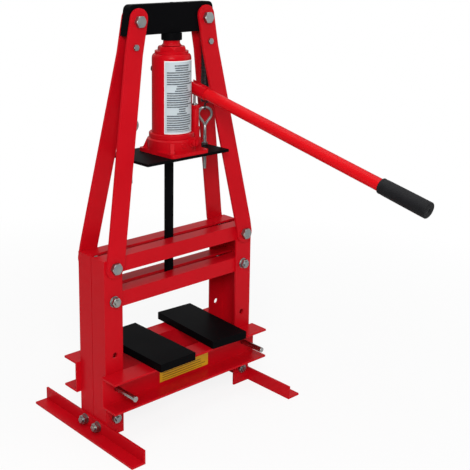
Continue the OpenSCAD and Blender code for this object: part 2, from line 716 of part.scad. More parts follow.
module pump_plunger() color(chrome) pump_side() {
    eye = pivot_z - pin_sag;
    translate([0, 0, 16]) cylinder(d = plunger_dia, h = eye - neck_len - 16);
    translate([0, 0, eye - neck_len - 1]) cylinder(d = neck_dia, h = neck_len + 1);
    translate([0, 0, eye]) rotate([90, 0, 0]) cylinder(r = 5.2, h = 8, center = true);
    translate([0, 0, eye]) rotate([90, 0, 0]) cylinder(d = link_pin, h = 22, center = true);
}

// Frame of the lever: origin at its pivot, X along the lever.
module lever() pump_side() at_pivot() rotate([0, lever_tilt, 0]) children();

// Slotted sleeve: its cheeks straddle the link and the plunger, its mouth takes the lever tube.
module handle_socket() color(red) difference() {
    union() {
        lever() translate([0, 0, lever_rise]) rotate([0, 90, 0]) cylinder(r = socket_r, h = tube_start + tube_in);
        lever() rotate([90, 0, 0]) cylinder(r = cheek_r, h = 2 * cheek_out, center = true);
    }
    lever() translate([tube_start - loose_gap, 0, lever_rise]) rotate([0, 90, 0])
        cylinder(d = tube_dia + 2 * run_fit, h = tube_in + 5);
    lever() translate([-cheek_r - 1, -fork_in, lever_rise - socket_r - 1])
        cube([cheek_r + 1 + pin_span + eye_clear, 2 * fork_in, 2 * socket_r + 2]);
    lever() rotate([90, 0, 0]) cylinder(d = link_pin + 2 * run_fit, h = 60, center = true);
    pin_slot();
}

// Slot that lets the plunger pin stay upright over its pump as the lever turns.
module pin_slot() pump_side() at_pivot() rotate([0, atan2(pin_sag, pin_arm), 0]) {
    for (d = [pin_arm - loose_gap, pin_span]) translate([d, 0, 0]) rotate([90, 0, 0])
        cylinder(d = link_pin + 2 * loose_gap, h = 60, center = true);
    translate([pin_arm - loose_gap, -30, -link_pin / 2 - loose_gap])
        cube([pin_span - pin_arm + loose_gap, 60, link_pin + 2 * loose_gap]);
}

module handle_tube() color(red) lever() translate([tube_start, 0, lever_rise]) rotate([0, 90, 0]) difference() {
    cylinder(d = tube_dia, h = tube_len);
    translate([0, 0, -1]) cylinder(r = tube_dia / 2 - tube_t, h = tube_len + 2);
}

module handle_grip() color(black) lever() rotate([0, 90, 0])
    translate([-lever_rise, 0, tube_start + tube_len + grip_over - grip_len]) difference() {
        union() {
            cylinder(d = grip_dia, h = grip_len - grip_edge);
            translate([0, 0, grip_len - grip_edge])
                cylinder(d1 = grip_dia, d2 = grip_dia - 2 * grip_edge, h = grip_edge);
        }
        translate([0, 0, -1]) cylinder(d = tube_dia, h = grip_len - grip_over + 1);
    }

module release_valve() color("#9c1019") jack() translate([valve_x, -valve_face - loose_gap, valve_z])
    rotate([-90, 0, 0]) difference() {
        union() {
            cylinder(d = valve_dia, h = 20);
            translate([0, 0, -7]) cylinder(d = 12, h = 7);
        }
        translate([-1.6, -8, -8]) cube([3.2, 16, 4]);
    }

from_tool() upright(-1, -1);  // upright_front_left
from_tool() upright(-1, 1);  // upright_rear_left
from_tool() upright(1, -1);  // upright_front_right
from_tool() upright(1, 1);  // upright_rear_right
from_tool() foot(-1);  // foot_left
from_tool() foot(1);  // foot_right
from_tool() rail(-1, upright_h, m12, bar_z);  // upper_rail_front
from_tool() rail(1, upright_h, m12, bar_z);  // upper_rail_rear
from_tool() rail(-1, low_rail_z, m10, low_bolt_z);  // lower_rail_front
from_tool() rail(1, low_rail_z, m10, low_bolt_z);  // lower_rail_rear
from_tool() flat_bar(-1, -1);  // bar_front_left
from_tool() flat_bar(-1, 1);  // bar_rear_left
from_tool() flat_bar(1, -1);  // bar_front_right
from_tool() flat_bar(1, 1);  // bar_rear_right
from_tool() crown_front_plate();
from_tool() crown_rear_plate();
from_tool() crown_strip();
from_tool() crown_spacers();
from_tool() crown_bolts();
from_tool() crown_nuts();
from_tool() spring_bolts();
from_tool() bar_bolts();
from_tool() bar_nuts();
from_tool() rail_bolts();
from_tool() tie_bolts();
from_tool() tie_spacers();
from_tool() foot_bolts();
from_tool() bed_channel(-1);  // bed_channel_front
from_tool() bed_channel(1);  // bed_channel_rear
from_tool() bed_label();
from_tool() bed_pin(-1);  // bed_pin_left
from_tool() bed_pin(1);  // bed_pin_right
from_tool() arbor_plate(arbor_left_x, -4, 0);  // arbor_plate_left
from_tool() arbor_plate(arbor_right_x, 6, arbor_turn);  // arbor_plate_right
from_tool() jack_seat();
from_tool() jack_ram();
from_tool() ram_seal();
from_tool() extension_screw();
from_tool() return_spring(-1);  // return_spring_left
from_tool() return_spring(1);  // return_spring_right
from_tool() press_table();
from_tool() press_rod();
from_tool() eye_bolt(-1);  // eye_bolt_left
from_tool() eye_bolt(1);  // eye_bolt_right
from_tool() eye_nuts();
from_tool() jack_base();
from_tool() jack_reservoir();
from_tool() jack_cylinder();
from_tool() top_nut();
from_tool() filler_plug();
from_tool() jack_label();
from_tool() pump_cylinder();
from_tool() pump_link();
from_tool() link_pins();
from_tool() handle_socket();
from_tool() handle_tube();
from_tool() handle_grip();
from_tool() pump_plunger();
from_tool() release_valve();
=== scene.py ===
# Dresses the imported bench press: fine edges, paint, plating, coils, threads, foam and plain labels.
import json
import math

import bmesh
import bpy
from mathutils import Matrix, Vector
from mathutils.bvhtree import BVHTree


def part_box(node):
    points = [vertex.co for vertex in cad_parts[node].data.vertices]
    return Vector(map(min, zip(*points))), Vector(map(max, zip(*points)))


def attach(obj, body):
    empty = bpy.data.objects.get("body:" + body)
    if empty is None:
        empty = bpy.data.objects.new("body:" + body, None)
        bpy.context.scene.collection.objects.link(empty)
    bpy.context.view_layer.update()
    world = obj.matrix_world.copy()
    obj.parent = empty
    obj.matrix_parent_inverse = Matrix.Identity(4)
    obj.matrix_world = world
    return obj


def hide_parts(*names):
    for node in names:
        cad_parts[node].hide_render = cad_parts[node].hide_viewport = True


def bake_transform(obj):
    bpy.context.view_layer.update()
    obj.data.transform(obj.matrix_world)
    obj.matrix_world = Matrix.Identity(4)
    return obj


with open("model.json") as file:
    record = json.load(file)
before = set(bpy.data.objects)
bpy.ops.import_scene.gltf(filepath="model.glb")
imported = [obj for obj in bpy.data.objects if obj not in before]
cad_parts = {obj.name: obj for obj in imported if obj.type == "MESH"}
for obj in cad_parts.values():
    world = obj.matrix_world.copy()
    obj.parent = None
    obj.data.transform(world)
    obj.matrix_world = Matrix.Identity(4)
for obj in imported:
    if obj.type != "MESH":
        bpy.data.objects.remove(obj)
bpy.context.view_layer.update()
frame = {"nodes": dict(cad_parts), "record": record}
nodes = frame["nodes"]
bodyOf = {n: b for b, members in frame["record"]["behaviour"]["bodies"].items() for n in members}
slotOf = {s["node"]: s["material_slot"] for s in frame["record"]["subparts"]}
jointOf = {joint["name"]: joint for joint in frame["record"]["behaviour"]["joints"]}
mm = 0.001
print("frame loaded:", len(nodes), "nodes")

photo = {"width": 470, "height": 470}
camera = {
    "place": (-1.0634, -1.2580, 0.6257),
    "azimuth": -40.17,  # degrees, 0 looks along +Y
    "elevation": 12.3,
    "roll": 0.09,
    "lens": 70.87,
    "sensor": 36.0,
    "shift": (0.1418, -0.1898),
}
imagePoints = {
    "leftEdge": (36.3, 403.4),
    "rightEdge": (434.5, 205.8),
    "topEdge": (202.5, 1.1),
    "bottomEdge": (131.7, 469.4),
    "crownBoltLeft": (140.8, 22.8),
    "crownBoltRight": (209.1, 15.5),
    "barBoltLeft": (117.7, 269.5),
    "barBoltRight": (247.4, 234.1),
    "spareHoleLeft": (115.5, 355.8),
    "pinTipLeft": (138.1, 399.8),
    "pinTipRight": (261.0, 349.0),
    "handleMouth": (206.9, 93.7),
    "gripVent": (429.9, 210.2),
    "springEye": (206.7, 113.6),
    "tableCorner": (146.1, 168.1),
    "footCorner": (144.8, 450.1),
    "releaseScrew": (193.2, 142.3),
    "ballPlug": (184.4, 145.4),
}


def makeCamera():
    azimuth, elevation = math.radians(camera["azimuth"]), math.radians(camera["elevation"])
    back = Vector((math.sin(azimuth) * math.cos(elevation), -math.cos(azimuth) * math.cos(elevation),
                   math.sin(elevation)))
    right = Vector((math.cos(azimuth), math.sin(azimuth), 0))
    up = back.cross(right)
    turn = Matrix((right, up, back)).transposed() @ Matrix.Rotation(math.radians(camera["roll"]), 3, "Z")
    data = bpy.data.cameras.new("photoCamera")
    data.lens = camera["lens"]
    data.sensor_fit = "AUTO"
    data.sensor_width = camera["sensor"]
    data.shift_x, data.shift_y = camera["shift"]
    data.clip_end = 20
    rig = bpy.data.objects.new("photoCamera", data)
    rig.matrix_world = Matrix.Translation(camera["place"]) @ turn.to_4x4()
    bpy.context.scene.collection.objects.link(rig)
    bpy.context.scene.camera = rig
    return turn


cameraTurn = makeCamera()
longSide = max(photo["width"], photo["height"])


def project(point):
    # where a point of the row frame shows in the photograph
    local = cameraTurn.transposed() @ (Vector(point) - Vector(camera["place"]))
    scale = longSide * camera["lens"] / camera["sensor"] / -local.z
    x = photo["width"] / 2 - camera["shift"][0] * longSide + local.x * scale
    y = photo["height"] / 2 + camera["shift"][1] * longSide - local.y * scale
    return x, y


def sightLine(name):
    x, y = imagePoints[name]
    ray = Vector((x - photo["width"] / 2 + camera["shift"][0] * longSide,
                  photo["height"] / 2 - y + camera["shift"][1] * longSide,
                  -longSide * camera["lens"] / camera["sensor"]))
    return (cameraTurn @ ray).normalized()


def placeOn(name, carriers):
    # the spot where the line of sight through an image point meets the carriers, and its normal
    origin, ray = Vector(camera["place"]), sightLine(name)
    hits = []
    for carrier in carriers:
        mesh = carrier.data
        tree = BVHTree.FromPolygons([v.co for v in mesh.vertices], [p.vertices for p in mesh.polygons])
        spot, normal, _, distance = tree.ray_cast(origin, ray)
        if spot is not None:
            hits.append((distance, spot, normal))
            continue
        towards = origin + ray * (Vector(mesh.vertices[0].co) - origin).dot(ray)
        spot, normal, _, distance = tree.find_nearest(towards)
        hits.append((100 + distance, spot, normal))
    _, spot, normal = min(hits, key=lambda hit: hit[0])
    return spot, (normal if normal.dot(ray) < 0 else -normal)


class Wire:
    # a node socket that takes part in Python expressions
    def __init__(self, bench, socket):
        self.bench, self.socket = bench, socket

    def __add__(self, other):
        return self.bench.maths("ADD", self, other)

    def __radd__(self, other):
        return self.bench.maths("ADD", other, self)

    def __sub__(self, other):
        return self.bench.maths("SUBTRACT", self, other)

    def __rsub__(self, other):
        return self.bench.maths("SUBTRACT", other, self)

    def __mul__(self, other):
        return self.bench.maths("MULTIPLY", self, other)

    def __rmul__(self, other):
        return self.bench.maths("MULTIPLY", other, self)

    def __truediv__(self, other):
        return self.bench.maths("DIVIDE", self, other)

    def __gt__(self, other):
        return self.bench.maths("GREATER_THAN", self, other)

    def __lt__(self, other):
        return self.bench.maths("LESS_THAN", self, other)


class Bench:
    # a node tree under construction
    def __init__(self, tree, family):
        self.tree, self.family = tree, family

    def node(self, kind, settings=None, sockets=None, output=0):
        whole = kind if kind.startswith(("ShaderNode", "FunctionNode")) else self.family + kind
        made = self.tree.nodes.new(whole)
        for key, value in (settings or {}).items():
            setattr(made, key, value)
        for key, value in (sockets or {}).items():
            self.feed(made.inputs[key], value)
        return made if output is None else Wire(self, made.outputs[output])

    def feed(self, socket, value):
        if isinstance(value, Wire):
            self.tree.links.new(value.socket, socket)
        else:
            socket.default_value = value

    def maths(self, operation, first, second=0.0):
        return self.node("ShaderNodeMath", {"operation": operation}, {0: first, 1: second})

    def along(self, place):
        # the x, y and z of a place as three wires
        outputs = self.node("ShaderNodeSeparateXYZ", None, {0: place}).socket.node.outputs
        return [Wire(self, outputs[i]) for i in range(3)]


class PaintBench(Bench):
    # the node tree of one material
    def __init__(self, name):
        self.material = bpy.data.materials.new(name)
        self.material.use_nodes = True
        super().__init__(self.material.node_tree, "ShaderNode")
        self.tree.nodes.clear()

    def clamp(self, value):
        return self.node("Clamp", None, {"Value": value})

    def tint(self, factor, first, second, how="MIX"):
        return self.node("Mix", {"data_type": "RGBA", "blend_type": how},
                         {0: factor, 6: first, 7: second}, 2)

    def place(self):
        return self.node("TexCoord", output=3)

    def noise(self, place, scale, detail=2.0, roughness=0.5):
        return self.node("TexNoise", None, {"Vector": place, "Scale": scale, "Detail": detail,
                                            "Roughness": roughness})

    def bump(self, height, strength, distance):
        return self.node("Bump", None, {"Height": height, "Strength": strength, "Distance": distance})

    def finish(self, fixed, **varied):
        shader = self.tree.nodes.new("ShaderNodeBsdfPrincipled")
        for key, value in fixed.items():
            shader.inputs[key].default_value = value
        for key, value in varied.items():
            self.feed(shader.inputs[key.replace("_", " ")], value)
        end = self.tree.nodes.new("ShaderNodeOutputMaterial")
        self.tree.links.new(shader.outputs[0], end.inputs[0])
        return self.material


class ShapeBench(Bench):
    # a Geometry Nodes tree with one shape in, one out, and named sizes
    def __init__(self, name, sizes):
        super().__init__(bpy.data.node_groups.new(name, "GeometryNodeTree"), "GeometryNode")
        self.tree.interface.new_socket("Shape", in_out="INPUT", socket_type="NodeSocketGeometry")
        for label, kind in dict(sizes, Material="Material").items():
            self.tree.interface.new_socket(label, in_out="INPUT", socket_type="NodeSocket" + kind)
        self.tree.interface.new_socket("Shape", in_out="OUTPUT", socket_type="NodeSocketGeometry")
        self.entry = self.tree.nodes.new("NodeGroupInput")

    def given(self, label):
        return Wire(self, self.entry.outputs[label])

    def finish(self, shape):
        solid = self.node("RealizeInstances", None, {"Geometry": shape})
        smooth = self.node("SetShadeSmooth", None, {"Geometry": solid})
        painted = self.node("SetMaterial", None, {"Geometry": smooth, "Material": self.given("Material")})
        self.feed(self.tree.nodes.new("NodeGroupOutput").inputs[0], painted)
        return self.tree


def colour(red, green, blue):
    return (red, green, blue, 1.0)


def powderCoat(name, base, deep, roughness=0.3, peel=0.05):
    bench = PaintBench(name)
    place = bench.place()
    clouds = bench.noise(place, 9, 3)
    ripple = bench.noise(place, 420, 2)
    grainAndGlint = bench.noise(place, 2600, 1)
    paint = bench.tint(bench.clamp((clouds - 0.35) * 1.6), deep, base)
    # painted glints: where this fine grain peaks, a little bright pink is mixed into the paint as a painted
    # highlight
    paint = bench.tint((grainAndGlint > 0.7) * 0.04, paint, colour(0.9, 0.2, 0.18))
    return bench.finish(
        {"Specular IOR Level": 0.07},
        Base_Color=paint,
        Roughness=roughness + clouds * 0.08,
        Normal=bench.bump(ripple + grainAndGlint * 0.2, peel, 0.0006),
    )


def satinBlack(name, base, roughness=0.4):
    bench = PaintBench(name)
    place = bench.place()
    clouds = bench.noise(place, 14, 3)
    grain = bench.noise(place, 1500, 2)
    scuff = bench.noise(place, 60, 6, 0.75)
    paint = bench.tint(bench.clamp((scuff - 0.6) * 5) * 0.35, base, colour(0.02, 0.02, 0.021))
    return bench.finish(
        {"Specular IOR Level": 0.015},
        Base_Color=paint,
        Roughness=roughness + clouds * 0.14,
        Normal=bench.bump(grain, 0.09, 0.0005),
    )


def platedSteel(name, base, warm, roughness=0.28, scratch=0.06):
    bench = PaintBench(name)
    place = bench.place()
    clouds = bench.noise(place, 90, 3)
    fine = bench.noise(place, 2200, 2)
    plate = bench.tint(bench.clamp((clouds - 0.42) * 3), base, warm)
    return bench.finish(
        {"Metallic": 1.0},
        Base_Color=plate,
        Roughness=roughness + clouds * 0.12,
        Normal=bench.bump(fine, scratch, 0.0004),
    )


def turnedSteel(name, base, axis):
    # bright bar with the fine rings that a lathe or grinder leaves
    bench = PaintBench(name)
    place = bench.place()
    parts = bench.along(place)
    rings = bench.node("TexNoise", {"noise_dimensions": "1D"}, {"W": parts[axis] * 2400, "Scale": 1.0,
                                                               "Detail": 2.0})
    smear = bench.noise(place, 30, 3)
    metal = bench.tint(bench.clamp((smear - 0.4) * 2), base, colour(0.34, 0.34, 0.33))
    return bench.finish(
        {"Metallic": 1.0},
        Base_Color=metal,
        Roughness=0.14 + smear * 0.14 + rings * 0.05,
        Normal=bench.bump(rings, 0.05, 0.0003),
    )


def springWire(name):
    bench = PaintBench(name)
    place = bench.place()
    oil = bench.noise(place, 160, 3)
    skin = bench.tint(bench.clamp((oil - 0.4) * 2.5), colour(0.008, 0.008, 0.009),
                      colour(0.022, 0.021, 0.022))
    return bench.finish(
        {"Specular IOR Level": 0.4},
        Base_Color=skin,
        Roughness=0.3 + oil * 0.2,
        Metallic=0.2 + oil * 0.2,
        Normal=bench.bump(bench.noise(place, 1900), 0.1, 0.0003),
    )


def gripFoam(name):
    bench = PaintBench(name)
    place = bench.place()
    cells = bench.node("TexVoronoi", {"feature": "F1"}, {"Vector": place, "Scale": 1500.0})
    broad = bench.noise(place, 45, 3)
    skin = bench.tint(bench.clamp((broad - 0.35) * 2), colour(0.004, 0.004, 0.005),
                      colour(0.009, 0.009, 0.010))
    skin = bench.tint((cells < 0.18) * 0.6, skin, colour(0.002, 0.002, 0.002))
    return bench.finish(
        {"Specular IOR Level": 0.14},
        Base_Color=skin,
        Roughness=0.5 + broad * 0.25,
        Normal=bench.bump(cells + broad * 0.5, 0.3, 0.0005),
    )


def softRubber(name):
    bench = PaintBench(name)
    place = bench.place()
    bloom = bench.noise(place, 220, 3)
    skin = bench.tint(bench.clamp(bloom), colour(0.008, 0.008, 0.008), colour(0.02, 0.02, 0.02))
    return bench.finish(
        {"Specular IOR Level": 0.3},
        Base_Color=skin,
        Roughness=0.55 + bloom * 0.2,
        Normal=bench.bump(bloom, 0.12, 0.0005),
    )


def ruledLabel(name, layout, across, down, edge):
    # a film with plain ruled lines, of the colours, pitch, weight, margins and short rows in layout
    bench = PaintBench(name)
    place = bench.place()
    u, v = across(bench, place), down(bench, place)
    line = (v - layout["start"]) / layout["pitch"]
    row = bench.maths("FLOOR", line)
    within = line - row
    scatter = bench.node("TexWhiteNoise", {"noise_dimensions": "1D"}, {"W": row + 0.5})
    title = 0.0
    for first, past in layout["titles"]:
        title = (row > first - 0.5) * (row < past - 0.5) + title
    reach = 1 - layout["margin"] - scatter * layout["ragged"]
    middle = bench.maths("ABSOLUTE", u - 0.5)
    words = bench.noise(place, layout["grain"], 3, 0.7)
    body = (u > layout["margin"]) * (u < reach)
    narrow, widest = layout["heading"]
    heading = middle < narrow + scatter * (widest - narrow)
    stroke = (within > layout["above"]) * (within < layout["above"] + layout["weight"])
    stroke = stroke * (words > layout["breaks"])
    onRow = title * heading + (1 - title) * body
    printed = bench.clamp(stroke * onRow * (v > layout["start"]) * (v < layout["stop"]))
    tone = bench.tint(printed * layout["strength"], layout["sheet"], layout["ink"])
    tone = bench.tint(edge(bench, u, v), tone, layout["rim"])
    return bench.finish(
        {"Specular IOR Level": 0.3},
        Base_Color=tone,
        Roughness=0.4 + words * 0.08,
        Normal=bench.bump(words, 0.02, 0.0003),
    )


jackLabel = {
    "axis": (0.004, -0.002),
    "from": -151.0,
    "to": -43.0,
    "side": 0.485,  # from the middle to the clear rim, as shares of the width and the height
    "end": 0.488,
    "layout": {"sheet": colour(0.48, 0.55, 0.58), "ink": colour(0.035, 0.045, 0.055),
               "rim": colour(0.80, 0.83, 0.85), "pitch": 0.0312, "above": 0.3, "weight": 0.58,
               "margin": 0.07, "titles": [(0, 3), (9, 12), (19, 22)], "heading": (0.1, 0.23),
               "ragged": 0.22, "grain": 620, "breaks": 0.38, "start": 0.045, "stop": 0.965,
               "strength": 0.9},
}


def jackLabelPaint():
    low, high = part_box("jack_label")
    first, last = math.radians(jackLabel["from"]), math.radians(jackLabel["to"])

    def across(bench, place):
        x, y, _ = bench.along(place)
        angle = bench.maths("ARCTAN2", y - jackLabel["axis"][1], x - jackLabel["axis"][0])
        return (angle - first) / (last - first)

    def down(bench, place):
        return (high.z - bench.along(place)[2]) / (high.z - low.z)

    def edge(bench, u, v):
        side = bench.maths("ABSOLUTE", u - 0.5) > jackLabel["side"]
        end = bench.maths("ABSOLUTE", v - 0.5) > jackLabel["end"]
        return bench.clamp(side + end)

    return ruledLabel("whiteLabel", jackLabel["layout"], across, down, edge)


bedLabel = {
    "end": 0.46,  # from the middle to the darker rim, as a share of the height
    "dark": 0.35,
    "layout": {"sheet": colour(0.66, 0.40, 0.010), "ink": colour(0.08, 0.05, 0.01),
               "rim": colour(0.40, 0.26, 0.02), "pitch": 0.17, "above": 0.3, "weight": 0.4,
               "margin": 0.05, "titles": [(0, 1)], "heading": (0.1, 0.23), "ragged": 0.12, "grain": 420,
               "breaks": 0.38, "start": 0.12, "stop": 0.9, "strength": 0.75},
}


def bedLabelPaint():
    low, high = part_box("bed_label")

    def across(bench, place):
        return (bench.along(place)[0] - low.x) / (high.x - low.x)

    def down(bench, place):
        return (high.z - bench.along(place)[2]) / (high.z - low.z)

    def edge(bench, u, v):
        return bench.clamp(bench.maths("ABSOLUTE", v - 0.5) > bedLabel["end"]) * bedLabel["dark"]

    return ruledLabel("yellowLabel", bedLabel["layout"], across, down, edge)


framePaint = powderCoat("framePaint", colour(0.56, 0.0035, 0.011), colour(0.49, 0.0025, 0.008))
jackPaint = powderCoat("jackPaint", colour(0.56, 0.003, 0.010), colour(0.47, 0.0025, 0.007), 0.2, 0.10)
handlePaint = powderCoat("handlePaint", colour(0.64, 0.006, 0.010), colour(0.58, 0.004, 0.008), 0.24, 0.04)
blackPaint = satinBlack("blackPaint", colour(0.0025, 0.0025, 0.003))
zincPlate = platedSteel("zincPlate", colour(0.27, 0.30, 0.31), colour(0.36, 0.36, 0.33))
brightSteel = turnedSteel("brightSteel", colour(0.38, 0.38, 0.37), 1)
ramSteel = turnedSteel("ramSteel", colour(0.52, 0.53, 0.55), 2)
coilSteel = springWire("coilSteel")
foam = gripFoam("foam")
rubber = softRubber("rubber")
whiteLabel = jackLabelPaint()
yellowLabel = bedLabelPaint()
finishOf = {
    "red_paint": framePaint, "jack_paint": jackPaint, "handle_paint": handlePaint,
    "black_paint": blackPaint, "zinc": zincPlate, "bright_steel": brightSteel, "spring_steel": coilSteel,
    "foam": foam, "seal_rubber": rubber, "white_label": whiteLabel, "yellow_label": yellowLabel,
}
verticalRods = {"jack_ram", "pump_plunger", "jack_cylinder"}
for name, obj in nodes.items():
    obj.data.materials.clear()
    obj.data.materials.append(ramSteel if name in verticalRods else finishOf[slotOf[name]])
print("finishes made:", len(finishOf))

edgeWidth = {  # millimetres rounded off each sheared, sawn, cast or formed edge
    "red_paint": 0.7, "jack_paint": 1.0, "handle_paint": 0.35, "black_paint": 0.6, "zinc": 0.6,
    "bright_steel": 0.4, "foam": 1.0, "seal_rubber": 0.3,
}
edgeAngle = math.radians(34)
flatAngle = math.radians(0.6)  # triangles that meet flatter than this are one face
mergeReach = 2e-6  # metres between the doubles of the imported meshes
made = {}  # every piece of this script, by the name of its object


def camel(name):
    first, *rest = name.split("_")
    return first + "".join(word.capitalize() for word in rest)


def smoothShade(mesh):
    for face in mesh.polygons:
        face.use_smooth = True


def linked(name, mesh):
    piece = bpy.data.objects.new(name, mesh)
    bpy.context.scene.collection.objects.link(piece)
    made[name] = piece
    return piece


def standFor(piece, name):
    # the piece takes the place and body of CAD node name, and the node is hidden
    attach(piece, bodyOf[name])
    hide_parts(name)
    return piece


def addTo(piece, body):
    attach(piece, body)
    return piece


def applied(piece):
    # the mesh with its modifiers worked in
    bpy.context.view_layer.update()
    graph = bpy.context.evaluated_depsgraph_get()
    mesh = bpy.data.meshes.new_from_object(piece.evaluated_get(graph))
    piece.modifiers.clear()
    old = piece.data
    piece.data = mesh
    if old.users == 0:
        bpy.data.meshes.remove(old)
    return piece


seam = {
    "half": 0.65,  # millimetres from the middle of the seam between two uprights to each flange
    "reach": 0.02,  # how near the flange's face a point of that face lies
}


def openSeam(name, mesh):
    # the flanges of a front and a rear upright leave a dark line between them in the photograph
    low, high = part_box(name)
    side = 1 if low.y + high.y > 0 else -1
    meeting = low.y if side > 0 else high.y
    for vert in mesh.vertices:
        if abs(vert.co.y - meeting) < seam["reach"] * mm:
            vert.co.y = side * seam["half"] * mm


def fineEdged(name, width, segments=2):
    mesh = nodes[name].data.copy()
    if name.startswith("upright_"):
        openSeam(name, mesh)
    work = bmesh.new()
    work.from_mesh(mesh)
    bmesh.ops.remove_doubles(work, verts=work.verts, dist=mergeReach)
    bmesh.ops.dissolve_limit(work, angle_limit=flatAngle, verts=work.verts, edges=work.edges)
    work.to_mesh(mesh)
    work.free()
    piece = linked(camel(name), mesh)
    bevel = piece.modifiers.new("edges", "BEVEL")
    bevel.width = width * mm
    bevel.segments = segments
    bevel.limit_method = "ANGLE"
    bevel.angle_limit = edgeAngle
    bevel.miter_outer = "MITER_ARC"
    applied(piece)
    smoothShade(piece.data)
    weighted = piece.modifiers.new("shading", "WEIGHTED_NORMAL")
    weighted.keep_sharp = True
    return standFor(applied(piece), name)


remade = {"return_spring_left", "return_spring_right", "eye_bolt_left", "eye_bolt_right", "handle_grip"}
asPacked = {"jack_label", "bed_label", "ram_seal", "jack_cylinder"}
for name in sorted(set(nodes) - remade - asPacked):
    fineEdged(name, edgeWidth[slotOf[name]], 3 if slotOf[name] == "red_paint" else 2)
print("fine edges worked on", len(made), "pieces")


def wirePath(points):
    mesh = bpy.data.meshes.new("path")
    mesh.from_pydata([tuple(p) for p in points], [(i, i + 1) for i in range(len(points) - 1)], [])
    return mesh


def rounded(points, rounds=1):
    # cut the corners of an open path, ends kept
    for _ in range(rounds):
        cut = [points[0]]
        for a, b in zip(points, points[1:]):
            cut += [a.lerp(b, 0.25), a.lerp(b, 0.75)]
        points = cut + [points[-1]]
    return points


def grown(name, carrier, tree, sizes):
    # the plain mesh that a geometry tree grows from a carrier
    piece = linked(name, carrier)
    growth = piece.modifiers.new("growth", "NODES")
    growth.node_group = tree
    for item in tree.interface.items_tree:
        if item.in_out == "INPUT" and item.name in sizes:
            growth[item.identifier] = sizes[item.name]
    return applied(piece)


def bentWireTree():
    bench = ShapeBench("bentWire", {"Thickness": "Float", "Sides": "Int"})
    path = bench.node("MeshToCurve", None, {"Mesh": bench.given("Shape")})
    section = bench.node("CurvePrimitiveCircle", {"mode": "RADIUS"},
                         {"Resolution": bench.given("Sides"), "Radius": bench.given("Thickness") * 0.5})
    return bench.finish(bench.node("CurveToMesh", None, {"Curve": path, "Profile Curve": section,
                                                         "Fill Caps": True}))


def threadTree():
    # a helical ridge from each point of the carrier, along its own direction
    bench = ShapeBench("thread", {"Root": "Float", "Pitch": "Float", "Length": "Float", "Ridge": "Float"})
    helix = bench.node("CurveSpiral", None, {
        "Resolution": 20, "Rotations": bench.given("Length") / bench.given("Pitch"),
        "Start Radius": bench.given("Root"), "End Radius": bench.given("Root"),
        "Height": bench.given("Length")})
    section = bench.node("CurvePrimitiveCircle", {"mode": "RADIUS"},
                         {"Resolution": 6, "Radius": bench.given("Ridge")})
    ridge = bench.node("CurveToMesh", None, {"Curve": helix, "Profile Curve": section, "Fill Caps": True})
    inward = bench.node("InputNamedAttribute", {"data_type": "FLOAT_VECTOR"}, {"Name": "inward"})
    turn = bench.node("FunctionNodeAlignRotationToVector", {"axis": "Z"}, {"Vector": inward})
    return bench.finish(bench.node("InstanceOnPoints", None,
                                   {"Points": bench.given("Shape"), "Instance": ridge, "Rotation": turn}))


def weldTree():
    # overlapping ripples along a path
    bench = ShapeBench("weld", {"Bead": "Float", "Step": "Float", "Unevenness": "Float", "Seed": "Int"})
    path = bench.node("MeshToCurve", None, {"Mesh": bench.given("Shape")})
    spots = bench.node("CurveToPoints", {"mode": "LENGTH"}, {"Curve": path, "Length": bench.given("Step")})
    turn = Wire(bench, spots.socket.node.outputs["Rotation"])
    drop = bench.node("MeshIcoSphere", None, {"Radius": bench.given("Bead"), "Subdivisions": 2})
    size = bench.node("FunctionNodeRandomValue", {"data_type": "FLOAT"},
                      {2: 1 - bench.given("Unevenness"), 3: 1 + bench.given("Unevenness"),
                       "Seed": bench.given("Seed")}, 1)
    return bench.finish(bench.node("InstanceOnPoints", None, {"Points": spots, "Instance": drop,
                                                              "Rotation": turn, "Scale": size}))


bentWire, thread, weld = bentWireTree(), threadTree(), weldTree()


def islands(mesh):
    # the separate solids of a mesh, as lists of points, from left to right
    work = bmesh.new()
    work.from_mesh(mesh)
    bmesh.ops.remove_doubles(work, verts=work.verts, dist=mergeReach)
    left, found = set(work.verts), []
    while left:
        edge, group = [left.pop()], []
        while edge:
            vert = edge.pop()
            group.append(vert.co.copy())
            for link in vert.link_edges:
                other = link.other_vert(vert)
                if other in left:
                    left.remove(other)
                    edge.append(other)
        found.append(sorted(group, key=tuple))
    work.free()
    return sorted(found, key=lambda group: tuple(group[0]))


def boxOf(points):
    return (Vector([min(p[i] for p in points) for i in range(3)]),
            Vector([max(p[i] for p in points) for i in range(3)]))


boltThreads = {
    "nodes": ["crown_bolts", "spring_bolts", "bar_bolts", "rail_bolts", "tie_bolts", "foot_bolts"],
    # the piece and the pitch for each shank radius
    "families": {6: ("threadsLarge", 1.75), 5: ("threadsMiddle", 1.5), 3: ("threadsSmall", 1.0)},
    "length": 6.0,
    "proud": 0.12,  # how far a crest stands out from the shank
    "ridge": 0.34,  # radius of the ridge, as a share of the pitch
    "facing": 0.3,  # how near an end face a point of that face lies
}


def boltTips(name):
    # the threaded tip, the direction back to the head, and the shank radius of each bolt in a node
    tips = []
    for group in islands(nodes[name].data):
        low, high = boxOf(group)
        middle, size = (low + high) / 2, high - low
        axis = max(range(3), key=lambda i: size[i])

        def spread(at):
            return max((Vector([p[i] if i != axis else at for i in range(3)]) -
                        Vector([middle[i] if i != axis else at for i in range(3)])).length
                       for p in group if abs(p[axis] - at) < boltThreads["facing"] * mm)

        sign = 1 if spread(high[axis]) < spread(low[axis]) else -1
        end = high[axis] if sign > 0 else low[axis]
        tip, inward = middle.copy(), Vector((0, 0, 0))
        tip[axis], inward[axis] = end, -sign
        tips.append((tip, inward, spread(end)))
    return tips


